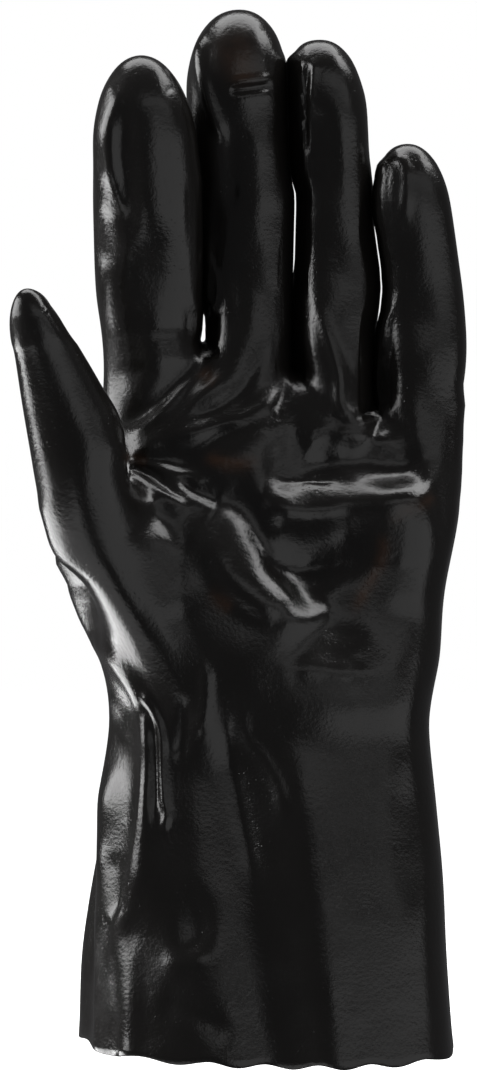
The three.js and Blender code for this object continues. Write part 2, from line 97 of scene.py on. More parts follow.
# the coated shell: outer surface first, then folds, then its wall
shell = {
    "node": "glove_shell",
    "wall": 0.0015,
    "mergeDistance": 0.00002,  # corners closer than this are one
    "quadAngle": 60,  # degrees by which two triangles may differ and still become one quad
    "rimHeight": 0.007,  # the cut edge lies below this height
    "rimFlatness": 0.7,  # and its faces point up or down at least this much
    "centreHeight": 0.02,  # the middle of the cuff is found below this height
    "outerLevels": 2,  # how often the outside is divided, and the inside
    "innerLevels": 1,
    "smoothRounds": 4,  # how often the cage is corrected so that the smooth surface meets the solid's corners
    "facingFrom": 0.08,  # how much the surface faces the front where a fold starts to show
    "facingFull": 0.45,  # and where it shows in full
    "narrowFold": 2.25,  # folds up to this width, in millimetres, get smaller faces
    "innerFold": 2.8,  # folds from this width on also show on the inside
    "rimSteps": [(0.0003, 0.0003), (0.0006, 0.0001), (0.0003, -0.0002)],  # inwards and down
    "smoothAngle": 60,  # degrees, past which an edge is shaded sharp
}


def deselectAll():
    if bpy.context.object and bpy.context.object.mode == "EDIT":
        bpy.ops.object.mode_set(mode="OBJECT")
    bpy.ops.object.select_all(action="DESELECT")


def makeActive(piece):
    deselectAll()
    piece.select_set(True)
    bpy.context.view_layer.objects.active = piece


def applyModifier(piece, kind, **settings):
    makeActive(piece)
    modifier = piece.modifiers.new(kind.title(), kind)
    for name, value in settings.items():
        setattr(modifier, name, value)
    bpy.ops.object.modifier_apply(modifier=modifier.name)


def takeOuterSurface(name):
    # a copy of the solid, its loose triangles merged into quads, with the cut edge and the inside taken off
    source = frame["nodes"][shell["node"]]
    piece = source.copy()
    piece.data = source.data.copy()
    piece.name = name
    piece.parent = None
    for key in list(piece.keys()):
        del piece[key]  # the CAD node's own notes stay with the node
    bpy.context.scene.collection.objects.link(piece)
    piece.data.materials.clear()
    makeActive(piece)
    bpy.ops.object.mode_set(mode="EDIT")
    bpy.ops.mesh.select_all(action="SELECT")
    bpy.ops.mesh.remove_doubles(threshold=shell["mergeDistance"])
    quadAngle = math.radians(shell["quadAngle"])
    bpy.ops.mesh.tris_convert_to_quads(face_threshold=quadAngle, shape_threshold=quadAngle)
    bpy.ops.mesh.select_mode(type="FACE")
    bpy.ops.mesh.select_all(action="DESELECT")
    mesh = bmesh.from_edit_mesh(piece.data)
    for face in mesh.faces:
        low = max(vert.co.z for vert in face.verts) < shell["rimHeight"]
        face.select = low and abs(face.normal.z) > shell["rimFlatness"]
    bmesh.update_edit_mesh(piece.data)
    bpy.ops.mesh.delete(type="ONLY_FACE")
    mesh = bmesh.from_edit_mesh(piece.data)
    mesh.faces.ensure_lookup_table()
    highest = max(mesh.faces, key=lambda face: face.calc_center_median().z)
    highest.select = True
    bmesh.update_edit_mesh(piece.data)
    bpy.ops.mesh.select_linked()
    bpy.ops.mesh.select_all(action="INVERT")
    bpy.ops.mesh.delete(type="VERT")
    bpy.ops.object.mode_set(mode="OBJECT")
    return piece


def readPoints(piece):
    points = np.empty(len(piece.data.vertices) * 3)
    piece.data.vertices.foreach_get("co", points)
    normals = np.empty(len(piece.data.vertices) * 3)
    piece.data.vertices.foreach_get("normal", normals)
    return points.reshape(-1, 3), normals.reshape(-1, 3)


def writePoints(piece, points):
    piece.data.vertices.foreach_set("co", points.ravel())
    piece.data.update()


glove = takeOuterSurface("coatedGlove")
print("outer surface:", len(glove.data.polygons), "faces,",
      sum(len(face.vertices) != 4 for face in glove.data.polygons), "of them not quads")


def copyOf(piece):
    twin = piece.copy()
    twin.data = piece.data.copy()
    bpy.context.scene.collection.objects.link(twin)
    return twin


def smoothThroughCorners(piece, levels):
    # the smooth surface keeps to the solid's own corners instead of shrinking inside them
    corners, _ = readPoints(piece)
    cage = corners.copy()
    for _ in range(shell["smoothRounds"]):
        trial = copyOf(piece)
        applyModifier(trial, "SUBSURF", levels=levels, render_levels=levels)
        reached, _ = readPoints(trial)
        cage += corners - reached[:len(corners)]
        bpy.data.meshes.remove(trial.data)
        writePoints(piece, cage)
    applyModifier(piece, "SUBSURF", levels=levels, render_levels=levels)


knit = copyOf(glove)
knit.name = "knitBacking"
smoothThroughCorners(glove, shell["outerLevels"])
smoothThroughCorners(knit, shell["innerLevels"])
print("smoothed:", len(glove.data.polygons), "faces outside,", len(knit.data.polygons), "inside")


def smoothStep(value, low, high):
    t = np.clip((value - low) / (high - low), 0, 1)
    return t * t * (3 - 2 * t)


# where neighbouring fingers meet, as the photograph shows it. Rows and columns are in pixels: left is the
# right edge of the left finger, right the left edge of the right one, and they overlap where one finger hides
# the gap. The two are kept apart on a plane that leans to one side with depth
fingerGaps = [
    {
        "name": "index to middle",
        "rows": [190, 230, 265, 300, 310, 316, 325, 338, 352],
        "left": [202, 203, 203.5, 203.5, 204, 203.5, 203, 202.5, 203],
        "right": [198, 198, 198, 198, 202, 204.5, 205, 204, 202],
        "lean": -0.5,
    },
    {
        "name": "middle to ring",
        "rows": [62, 93, 130, 176, 190, 205, 265, 280, 300, 345, 376],
        "left": [287, 288, 288.5, 291, 294.3, 294.8, 293.4, 293, 292.5, 292, 293],
        "right": [285, 285, 286, 289, 295.2, 296, 294.4, 291.5, 289, 288, 288],
        "lean": -0.5,
    },
    {
        "name": "ring to little",
        "rows": [168, 190, 215, 230, 250, 270, 290, 310, 326, 340, 360, 380, 414],
        "left": [371, 373.5, 374, 374.5, 377.3, 380, 381, 379, 377, 377, 377, 377, 377],
        "right": [375, 372, 372, 375.2, 378.2, 381, 382, 380, 376, 374, 373, 373, 373],
        "lean": 0.5,
    },
]
gapClosing = {
    "reach": 14,  # pixels from the gap's middle to the furthest point that moves
    "pastMiddle": 5,  # pixels that a finger's side may lie past the middle and still be found
    "above": 12,  # rows above the table in which the shift fades in
    "below": 4,  # rows below it in which it has faded out
    "fadeRows": 6,  # rows above the table's end at which it starts to fade out
    "bandHeight": 5,  # rows per band in which a finger's own edge is found
    "bandOverlap": 2,
    "sideFacing": 0.1,  # a finger's side faces the gap at least this much
    "movedFrom": 0.25,  # how much a side faces the gap where it starts to move
    "movedFull": 0.95,  # and where it moves in full
    "turn": 0.45,  # how far the moved sides face to the front or the back
    "clearance": 0.00012,  # metres left between the two surfaces
    "planeDepth": 0.012,  # metres before and behind the closest place in which the plane keeps them apart
    "depthRows": 5,  # the closest place is looked for in this many rows and columns round the middle
    "depthColumns": 6,
    "depthFacing": 0.8,  # among points that face sideways at least this much
}


def findGapMiddle(gap, row):
    return np.interp(row, gap["rows"], (np.array(gap["left"]) + np.array(gap["right"])) / 2)


def findFingerEdge(column, row, faces, bands, side):
    # the outermost column of a finger's own side at each row, found band by band
    bandHeight, overlap = gapClosing["bandHeight"], gapClosing["bandOverlap"]
    edges = []
    for low in bands:
        band = faces & (row >= low - overlap) & (row < low + bandHeight + overlap)
        edges.append(side * (side * column[band]).max() if band.any() else np.nan)
    edges = np.array(edges)
    known = ~np.isnan(edges)
    return np.interp(row, bands[known] + bandHeight / 2, edges[known])


def closeGap(points, normals, gap):
    # shifts both fingers' sides to their edges in the table and keeps them apart on the leaning plane
    pixels = toPixels(points)
    column, row = pixels[:, 0], pixels[:, 1]
    firstRow, lastRow = gap["rows"][0], gap["rows"][-1]
    topRow, bottomRow = firstRow - gapClosing["above"], lastRow + gapClosing["below"]
    bands = np.arange(topRow, bottomRow + 1, gapClosing["bandHeight"])
    middle = findGapMiddle(gap, row)
    near = (row > topRow) & (row < bottomRow) & (np.abs(column - middle) < gapClosing["reach"])
    fade = smoothStep(row, topRow, firstRow) * smoothStep(-row, -bottomRow, -lastRow + gapClosing["fadeRows"])
    scale = photoView["pixelSize"] * (photoView["distance"] + points[:, 1]) / photoView["distance"]
    for side, edgeName in ((1, "left"), (-1, "right")):
        faces = near & (side * normals[:, 0] > gapClosing["sideFacing"])
        faces &= side * (middle - column) > -gapClosing["pastMiddle"]
        if not faces.any():
            continue
        edge = findFingerEdge(column, row, faces, bands, side)
        shift = np.interp(row, gap["rows"], gap[edgeName]) - edge
        toward = np.array([side, side * gap["lean"] * gapClosing["turn"], 0])
        toward /= np.linalg.norm(toward)
        weight = smoothStep(normals @ toward, gapClosing["movedFrom"], gapClosing["movedFull"]) * faces * fade
        points[:, 0] += shift * scale * weight
        # the two sides stay on their own side of the leaning plane
        depth = points[:, 1] - np.interp(row, gap["rows"], gap["depth"])
        plane = (middle - photoView["imageWidth"] / 2) * scale + camera.location.x + depth * gap["lean"]
        limit = plane - side * gapClosing["clearance"]
        over = faces & (side * (points[:, 0] - limit) > 0) & (np.abs(depth) < gapClosing["planeDepth"])
        points[over, 0] = limit[over]


def findGapDepths(gap, points, normals):
    # the depth at which the two fingers come closest, row by row
    pixels = toPixels(points)
    inColumns = np.abs(pixels[:, 0] - findGapMiddle(gap, pixels[:, 1])) < gapClosing["depthColumns"]
    sides = inColumns & (np.abs(normals[:, 0]) > gapClosing["depthFacing"])
    depths = []
    for row in gap["rows"]:
        here = sides & (np.abs(pixels[:, 1] - row) < gapClosing["depthRows"])
        depths.append(points[here, 1].mean() if here.any() else 0.0)
    return depths


def closeGaps(piece):
    points, normals = readPoints(piece)
    for gap in fingerGaps:
        closeGap(points, normals, gap)
    writePoints(piece, points)


def measureGaps(piece):
    points, normals = readPoints(piece)
    for gap in fingerGaps:
        gap["depth"] = findGapDepths(gap, points, normals)
        print("gap measured:", gap["name"])


measureGaps(glove)
closeGaps(glove)
closeGaps(knit)
print("finger gaps closed")


# how the folds seen in the photograph are drawn. Each fold has a path in pixels, and a width and an outward
# height in millimetres. A step is high on the left of its path, seen along it. A dab is round at both ends,
# and the others rise from nothing and fade again. A fold on the hand leaves out the thumb's free part
foldDrawing = {
    "curvePoints": 24,
    "reach": 4,  # fold widths round its path in which a fold is worked out
    "fade": 0.25,  # share of the path in which a fold rises or fades, where it gives none
    "stepSlope": 1.5,
    "stepReach": 3,  # fold widths in which a step's sides run out
    "fineReach": 2.1,  # fold widths round a narrow fold in which the faces get smaller
    "farAway": 99.0,  # the distance given to places out of reach
}


def smoothPath(path):
    # a curve through the path's points
    count = foldDrawing["curvePoints"]
    points = [np.array(point, float) for point in path]
    points = [2 * points[0] - points[1], *points, 2 * points[-1] - points[-2]]
    curve = []
    spans = len(points) - 3
    for i in range(count):
        place = i / (count - 1) * spans
        k = min(int(place), spans - 1)
        t = place - k
        a, b, c, d = points[k:k + 4]
        curve.append(0.5 * (2 * b + (c - a) * t + (2 * a - 5 * b + 4 * c - d) * t ** 2
                            + (3 * b - a - 3 * c + d) * t ** 3))
    return np.array(curve)


def foldShape(fold, pixels):
    # how strongly a fold shows at each pixel position, and the distance from it in fold widths
    millimetresPerPixel = photoView["pixelSize"] * 1000
    curve = smoothPath(fold["path"])
    reach = foldDrawing["reach"] * fold["width"] / millimetresPerPixel
    low, high = curve.min(axis=0) - reach, curve.max(axis=0) + reach
    near = ((pixels > low) & (pixels < high)).all(axis=1)
    shape = np.zeros(len(pixels))
    away = np.full(len(pixels), foldDrawing["farAway"])
    if not near.any():
        return shape, away
    start, along = curve[:-1], np.diff(curve, axis=0)
    lengths = np.linalg.norm(along, axis=1)
    offset = pixels[near][:, None, :] - start[None]
    share = np.clip((offset * along[None]).sum(2) / lengths ** 2, 0, 1)
    gapVector = offset - share[..., None] * along[None]
    distance = np.linalg.norm(gapVector, axis=2)
    nearest = distance.argmin(axis=1)
    pick = np.arange(near.sum())
    distance = distance[pick, nearest] * millimetresPerPixel / fold["width"]
    place = (nearest + share[pick, nearest]) / len(along)
    fade = 1
    if not fold.get("dab"):
        fade = smoothStep(place, 0, fold.get("fadeIn", foldDrawing["fade"]))
        fade *= smoothStep(1 - place, 0, fold.get("fadeOut", foldDrawing["fade"]))
    away[near] = distance
    if fold.get("kind") == "step":
        cross = (along[nearest, 0] * gapVector[pick, nearest, 1]
                 - along[nearest, 1] * gapVector[pick, nearest, 0])
        slope = -np.sign(cross) * np.tanh(distance * foldDrawing["stepSlope"])
        shape[near] = fade * slope * np.exp(-(distance / foldDrawing["stepReach"]) ** 2)
    else:
        shape[near] = fade * np.exp(-distance ** 2)
    return shape, away


# the thumb's free part: what lies round its middle line, which runs from the root to the tip
freeThumb = {
    "root": (-0.034, -0.018, 0.121),
    "tip": (-0.066, -0.043, 0.223),
    "lineEnd": 1.1,  # the line runs on past the tip, as a share of its length
    "nearLine": 0.0165,  # all within this distance of the line belongs to it, and nothing past the next
    "farLine": 0.021,
    "startsAt": 0.42,  # shares of the line between which the thumb comes free of the hand
    "freeAt": 0.56,
}


def thumbMask(points):
    # 1 on the thumb's free part, 0 elsewhere
    root = np.array(freeThumb["root"])
    along = np.array(freeThumb["tip"]) - root
    share = np.clip(((points - root) @ along) / (along @ along), 0.0, freeThumb["lineEnd"])
    distance = np.linalg.norm(points - root - share[:, None] * along, axis=1)
    nearLine = smoothStep(-distance, -freeThumb["farLine"], -freeThumb["nearLine"])
    return nearLine * smoothStep(share, freeThumb["startsAt"], freeThumb["freeAt"])


def refineNear(piece, folds):
    # smaller faces where a narrow fold will be pressed
    points, normals = readPoints(piece)
    pixels = toPixels(points)
    close = np.zeros(len(points), bool)
    for fold in folds:
        if fold["width"] <= shell["narrowFold"]:
            _, away = foldShape(fold, pixels)
            close |= (away < foldDrawing["fineReach"]) & (-normals[:, 1] > shell["facingFrom"])
    makeActive(piece)
    bpy.ops.object.mode_set(mode="EDIT")
    bpy.ops.mesh.select_mode(type="FACE")
    bpy.ops.mesh.select_all(action="DESELECT")
    mesh = bmesh.from_edit_mesh(piece.data)
    count = 0
    for face in mesh.faces:
        if any(close[vert.index] for vert in face.verts):
            face.select = True
            count += 1
    bmesh.update_edit_mesh(piece.data)
    bpy.ops.mesh.subdivide(number_cuts=1, ngon=True)
    bpy.ops.object.mode_set(mode="OBJECT")
    return count


def pressFolds(piece, folds):
    # moves the front of a sheet outwards or inwards by the folds' heights
    points, normals = readPoints(piece)
    pixels = toPixels(points)
    shown = smoothStep(-normals[:, 1], shell["facingFrom"], shell["facingFull"])
    onThumb = thumbMask(points)
    height = np.zeros(len(points))
    for fold in folds:
        part = 1 - onThumb if fold.get("on") == "hand" else 1
        shape, _ = foldShape(fold, pixels)
        height += fold["height"] * part * shape
    writePoints(piece, points + normals * (height * shown / 1000)[:, None])


broadFolds = [
    # wrist and cuff: a broad valley left of the middle and a ridge beside it
    {"path": [(226, 690), (232, 760), (240, 850), (256, 940), (272, 1040), (288, 1110)],
     "width": 11, "height": -3.8, "fadeIn": 0.25, "fadeOut": 0.05},
    {"path": [(150, 700), (156, 780), (150, 860), (140, 940)],
     "width": 5.5, "height": 2.4, "on": "hand", "fadeIn": 0.2, "fadeOut": 0.3},
    # the cuff's lower left: a valley with a low ridge at each side
    {"path": [(134, 890), (128, 970), (126, 1050), (126, 1110)],
     "width": 3.8, "height": 1.3, "fadeIn": 0.5, "fadeOut": 0.05},
    {"path": [(112, 870), (107, 960), (106, 1040), (106, 1110)],
     "width": 3.4, "height": -3.0, "fadeIn": 0.6, "fadeOut": 0.05},
    {"path": [(92, 900), (88, 980), (88, 1040), (88, 1110)],
     "width": 2.8, "height": 1.3, "fadeIn": 0.5, "fadeOut": 0.05},
    # the pale panel left of the long ridge, and the low waves of the cuff's right half
    {"path": [(112, 690), (118, 740), (116, 800), (110, 860), (102, 930)],
     "width": 4.6, "height": -0.9, "on": "hand", "fadeIn": 0.2, "fadeOut": 0.3},
    {"path": [(290, 720), (306, 800), (318, 900), (330, 1020), (336, 1110)],
     "width": 7, "height": 1.6, "fadeIn": 0.3, "fadeOut": 0.05},
    {"path": [(412, 760), (410, 840), (414, 920)], "width": 5, "height": -0.9, "fadeIn": 0.3, "fadeOut": 0.3},
    {"path": [(186, 890), (194, 930), (196, 960)],
     "width": 4.5, "height": -1.6, "fadeIn": 0.4, "fadeOut": 0.3},
    # the bowl of the palm and the pads round it
    {"path": [(285, 480), (300, 540), (300, 590)], "width": 9, "height": -1.6},
    {"path": [(336, 500), (338, 560), (334, 620)], "width": 13, "height": -3.0, "dab": True},
    {"path": [(410, 500), (412, 560), (400, 620)], "width": 7, "height": 1.2},
    {"path": [(150, 520), (165, 570), (190, 620)], "width": 8, "height": 1.2, "on": "hand"},
    {"path": [(290, 668), (360, 674)], "width": 6, "height": 1.0},
    # pads and hollows along the fingers
    {"path": [(150, 330), (152, 370)], "width": 9, "height": 0.9, "on": "hand"},
    {"path": [(148, 262), (150, 272)], "width": 8, "height": -1.3, "dab": True},
    {"path": [(246, 262), (248, 280)], "width": 8, "height": -1.3, "dab": True},
    {"path": [(336, 250), (338, 268)], "width": 8, "height": -1.2, "dab": True},
    {"path": [(418, 300), (420, 315)], "width": 8, "height": -1.1, "dab": True},
    {"path": [(262, 120), (266, 170), (262, 220)], "width": 5, "height": 0.8},
    {"path": [(226, 120), (232, 170), (228, 225)], "width": 3.4, "height": -1.0},
    {"path": [(318, 100), (322, 150), (320, 200)], "width": 3.6, "height": -0.9},
    {"path": [(346, 90), (348, 150), (346, 210)], "width": 4.5, "height": 0.6},
    {"path": [(106, 132), (106, 168)], "width": 5, "height": 1.2, "dab": True},
    {"path": [(104, 225), (104, 250)], "width": 5, "height": -1.2, "dab": True},
]
fingerFolds = [
    # the crease across the middle fingertip, with a lip above and below
    {"path": [(229, 91), (250, 89), (272, 85)],
     "width": 0.9, "height": -1.0, "fadeIn": 0.12, "fadeOut": 0.12},
    {"path": [(226, 83), (250, 80), (276, 77)], "width": 1.2, "height": 0.7},
    {"path": [(228, 98), (250, 96), (274, 92)], "width": 1.4, "height": 0.35},
    # the middle finger's left edge and two small dents in it
    {"path": [(205, 28), (200, 62), (212, 110), (230, 152)], "width": 2.0, "height": 1.4},
    {"path": [(246, 140), (246, 141)], "width": 0.9, "height": -0.3, "dab": True},
    {"path": [(234, 190), (234, 191)], "width": 1.2, "height": -0.3, "dab": True},
    # the ring finger's and the little finger's left edges
    {"path": [(309, 60), (304, 90), (303, 120), (306, 160)], "width": 1.5, "height": -1.1},
    {"path": [(316, 56), (312, 80), (311, 110)], "width": 1.2, "height": 0.5},
    {"path": [(393, 150), (406, 167), (407, 190), (402, 235)], "width": 1.8, "height": 0.8},
    # the ridge down the index finger's left side and the hollow beside it
    {"path": [(121, 80), (116, 100), (108, 130), (110, 165), (118, 195), (124, 220)],
     "width": 2.2, "height": 0.9},
    {"path": [(130, 95), (124, 150), (128, 205), (132, 255)], "width": 3.6, "height": -1.1},
    # where the fingers join the hand
    {"path": [(203, 250), (213, 266), (218, 290), (215, 308), (208, 326)], "width": 1.0, "height": 0.8},
    {"path": [(311, 290), (330, 340), (340, 375), (343, 408), (378, 440)], "width": 1.8, "height": 0.9},
    {"path": [(228, 250), (240, 300), (236, 345)], "width": 3.0, "height": -0.5},
    {"path": [(140, 300), (136, 340), (140, 385)], "width": 3.0, "height": -0.5},
]
palmFolds = [
    # the slanting creases that run from the finger roots down to the thumb's web
    {"path": [(196, 366), (172, 393), (146, 418), (122, 434)],
     "width": 2.0, "height": 0.8, "kind": "step", "on": "hand"},
    {"path": [(207, 353), (187, 387), (156, 419), (126, 442)], "width": 2.0, "height": 0.9, "on": "hand"},
    {"path": [(271, 338), (257, 375), (236, 404), (193, 424), (163, 438)],
     "width": 2.2, "height": 0.85, "kind": "step", "on": "hand"},
    {"path": [(284, 378), (268, 402), (245, 418), (205, 431), (166, 449)],
     "width": 2.2, "height": 0.9, "on": "hand"},
    # the creases below the ring and little fingers
    {"path": [(292, 368), (294, 395), (283, 421), (286, 446), (302, 457), (313, 438), (322, 416)],
     "width": 2.4, "height": 0.8, "fadeIn": 0.1},
    {"path": [(359, 315), (364, 370), (370, 416), (381, 416), (397, 391)], "width": 2.4, "height": 0.7},
    {"path": [(330, 437), (350, 434), (376, 438), (400, 436)], "width": 2.2, "height": 0.9},
    {"path": [(280, 462), (340, 458), (400, 462), (440, 452)], "width": 3.2, "height": -1.1},
    # the bright lens across the palm: one broad slope that faces up
    {"path": [(256, 494), (280, 493), (310, 495), (345, 492), (380, 489), (415, 484), (434, 480)],
     "width": 4.9, "height": -3.8, "kind": "step", "fadeIn": 0.22, "fadeOut": 0.22},
    {"path": [(252, 494), (280, 493), (315, 494), (350, 492)], "width": 4.6, "height": -1.5, "kind": "step"},
    # the ball of the thumb: its edge runs from the thumb web to the palm's middle, with a low one beside it
    {"path": [(205, 500), (230, 511), (246, 528), (257, 546), (268, 566), (282, 584), (300, 598), (334, 610)],
     "width": 3.4, "height": -1.35, "kind": "step", "fadeIn": 0.2, "fadeOut": 0.25},
    {"path": [(330, 604), (316, 617), (296, 622), (276, 619)], "width": 3.0, "height": 1.2},
    {"path": [(203, 535), (210, 560), (221, 580), (235, 598), (250, 609), (270, 618), (300, 624)],
     "width": 3.4, "height": 1.2, "kind": "step", "fadeIn": 0.2},
    # the web between thumb and palm
    {"path": [(126, 463), (142, 461), (160, 464), (180, 470), (204, 474)],
     "width": 1.5, "height": -0.8, "kind": "step", "on": "hand", "fadeIn": 0.05},
    {"path": [(172, 474), (185, 489), (200, 499), (218, 507)],
     "width": 1.8, "height": -1.1, "kind": "step", "on": "hand", "fadeOut": 0.1},
    {"path": [(130, 470), (142, 475), (155, 483), (166, 492), (180, 500), (194, 509)],
     "width": 1.4, "height": -1.0, "kind": "step", "on": "hand", "fadeIn": 0.05},
    {"path": [(148, 500), (172, 528), (196, 556)], "width": 3.0, "height": -1.0, "on": "hand"},
    {"path": [(190, 476), (197, 483)], "width": 2.4, "height": 0.8, "on": "hand", "dab": True},
]
cuffFolds = [
    # the long ridge down the left side of wrist and cuff
    {"path": [(84, 636), (96, 646), (110, 658), (122, 670), (132, 685), (140, 700), (147, 735), (147, 765),
              (145, 800), (142, 830), (138, 860), (134, 885), (128, 905), (120, 930), (117, 950), (114, 980),
              (112, 1020), (112, 1070)],
     "width": 2.4, "height": 1.5, "on": "hand", "fadeIn": 0.06, "fadeOut": 0.05},
    # the short ridge right of it, with a groove between the two
    {"path": [(142, 690), (152, 705), (159, 722), (162, 740), (162, 770), (164, 800), (167, 815), (162, 835)],
     "width": 1.1, "height": 1.2, "fadeIn": 0.1, "fadeOut": 0.1},
    {"path": [(152, 715), (155, 770), (154, 830)],
     "width": 1.3, "height": -1.1, "fadeIn": 0.2, "fadeOut": 0.3},
    # small folds in the panel left of it
    {"path": [(108, 697), (118, 708), (126, 722), (130, 745)],
     "width": 1.8, "height": 0.6, "on": "hand", "fadeIn": 0.05},
    {"path": [(113, 850), (117, 885), (117, 920)], "width": 2.6, "height": -0.6},
    {"path": [(99, 835), (103, 875), (108, 910), (115, 940)], "width": 2.2, "height": 0.5},
    # dents and low waves of the cuff's front
    {"path": [(178, 885), (196, 905), (212, 945)], "width": 4.2, "height": -0.6},
    {"path": [(160, 970), (186, 960), (210, 956)], "width": 3.0, "height": 0.9},
    {"path": [(155, 1000), (190, 1010), (235, 1040)], "width": 3.2, "height": -1.0},
    # the creases that run down from the heel of the hand
    {"path": [(205, 655), (206, 700), (200, 745)], "width": 2.2, "height": 0.9},
    {"path": [(184, 690), (184, 730), (178, 765)], "width": 2.2, "height": -0.9},
    {"path": [(243, 695), (246, 735), (264, 760), (280, 790), (286, 830)], "width": 2.2, "height": 0.8},
    {"path": [(222, 700), (230, 760), (242, 820), (262, 900)], "width": 2.8, "height": -1.0},
    {"path": [(273, 672), (320, 668), (386, 676)], "width": 2.6, "height": 0.7},
]
frontFolds = fingerFolds + palmFolds + cuffFolds
refined = refineNear(glove, frontFolds)
print("refined near folds:", refined, "faces, now", len(glove.data.polygons))
for sheet in (glove, knit):
    pressFolds(sheet, broadFolds)
pressFolds(glove, frontFolds)
pressFolds(knit, [fold for fold in frontFolds if fold["width"] >= shell["innerFold"]])
print("folds pressed")


# the last few pixels between the solid's outline and the photograph's: side 1 is the right edge of what lies
# right of the column "from", side -1 the left edge of what lies left of it. One on the thumb moves it alone
outlineNudges = [
    {"side": 1, "from": 400, "rows": [385, 405, 440, 470, 500], "pixels": [0, 5, 6, 4, 0]},
    {"side": -1, "from": 200, "rows": [490, 510, 520, 530, 544, 556, 562, 568, 576, 584, 608, 620, 632, 650],
     "pixels": [0, -3, -3.5, -5, -8, -9, -8, -4, 1, 4.5, 4.5, 3.5, 3, 0]},
    {"side": 1, "from": 30, "on": "thumb", "rows": [290, 305, 325, 345], "pixels": [0, -5, -4, 0]},
]
nudgeFacing = (0.3, 0.95)  # how much a surface faces the side when it starts to move, and moves in full


def nudgeOutline(piece):
    points, normals = readPoints(piece)
    pixels = toPixels(points)
    onThumb = thumbMask(points)
    shift = np.zeros(len(points))
    for nudge in outlineNudges:
        side = nudge["side"]
        amount = np.interp(pixels[:, 1], nudge["rows"], nudge["pixels"], left=0, right=0)
        part = onThumb if nudge.get("on") == "thumb" else 1
        beyond = side * (pixels[:, 0] - nudge["from"]) > 0
        shift += amount * part * smoothStep(side * normals[:, 0], *nudgeFacing) * beyond
    points[:, 0] += shift * photoView["pixelSize"]
    writePoints(piece, points)


for sheet in (glove, knit):
    nudgeOutline(sheet)
print("outline nudged")


# where the coating looks faintly brown: strokes like the folds'
warmPatches = [
    {"path": [(236, 50), (242, 72)], "width": 4.5, "strength": 0.5, "dab": True},
    {"path": [(200, 456), (230, 464), (264, 462)], "width": 1.8, "strength": 1},
    {"path": [(384, 528), (381, 560), (370, 582), (350, 620)], "width": 1.8, "strength": 0.9},
    {"path": [(385, 522), (420, 506), (438, 494)], "width": 1.8, "strength": 0.7},
    {"path": [(206, 588), (235, 612)], "width": 2.4, "strength": 0.6},
    {"path": [(200, 368), (214, 386)], "width": 2.2, "strength": 0.6},
    {"path": [(120, 455), (150, 462)], "width": 1.6, "strength": 0.6},
]


def markWarm(piece):
    points, normals = readPoints(piece)
    pixels = toPixels(points)
    warm = np.zeros(len(points))
    for patch in warmPatches:
        shape, _ = foldShape(patch, pixels)
        warm = np.maximum(warm, shape * patch["strength"])
    warm *= normals[:, 1] < 0
    mark = piece.data.attributes.new("warm", "FLOAT", "POINT")
    mark.data.foreach_set("value", warm)


markWarm(glove)
print("warm patches marked")


def findCuffCentre(piece):
    points, _ = readPoints(piece)
    lowest = points[points[:, 2] < shell["centreHeight"]]
    return (lowest.min(axis=0) + lowest.max(axis=0)) / 2


def selectOpenEdges(piece):
    bpy.ops.mesh.select_all(action="DESELECT")
    mesh = bmesh.from_edit_mesh(piece.data)
    for edge in mesh.edges:
        edge.select = edge.is_boundary
    bmesh.update_edit_mesh(piece.data)


def closeRim(outer, inner):
    # the knit sheet goes inwards by the wall, and the cut edge joins the two with rounded corners
    points, normals = readPoints(inner)
    writePoints(inner, points - normals * shell["wall"])
    inner.data.flip_normals()
    cuffCentre = findCuffCentre(outer)
    makeActive(outer)
    bpy.ops.object.mode_set(mode="EDIT")
    bpy.ops.mesh.select_mode(type="EDGE")
    for inward, down in shell["rimSteps"]:
        selectOpenEdges(outer)
        bpy.ops.mesh.extrude_region_move()
        mesh = bmesh.from_edit_mesh(outer.data)
        for vert in mesh.verts:
            if vert.select:
                away = Vector((vert.co.x - cuffCentre[0], vert.co.y - cuffCentre[1], 0)).normalized()
                vert.co -= away * inward
                vert.co.z -= down
        bmesh.update_edit_mesh(outer.data)
    bpy.ops.object.mode_set(mode="OBJECT")
    outerCount = len(outer.data.vertices)
    deselectAll()
    outer.select_set(True)
    inner.select_set(True)
    bpy.context.view_layer.objects.active = outer
    bpy.ops.object.join()
    bpy.ops.object.mode_set(mode="EDIT")
    bpy.ops.mesh.select_mode(type="EDGE")
    selectOpenEdges(outer)
    bpy.ops.mesh.bridge_edge_loops()
    bpy.ops.object.mode_set(mode="OBJECT")
    return outerCount


def markInside(piece, outerCount):
    # 1 on the knit backing, whose vertices come after the coated ones
    mark = piece.data.attributes.new("inside", "FLOAT", "POINT")
    mark.data.foreach_set("value", [float(i >= outerCount) for i in range(len(piece.data.vertices))])


markInside(glove, closeRim(glove, knit))
makeActive(glove)
bpy.ops.object.shade_smooth_by_angle(angle=math.radians(shell["smoothAngle"]))
print("wall closed:", len(glove.data.polygons), "faces,",
      sum(len(face.vertices) - 2 for face in glove.data.polygons), "triangles")


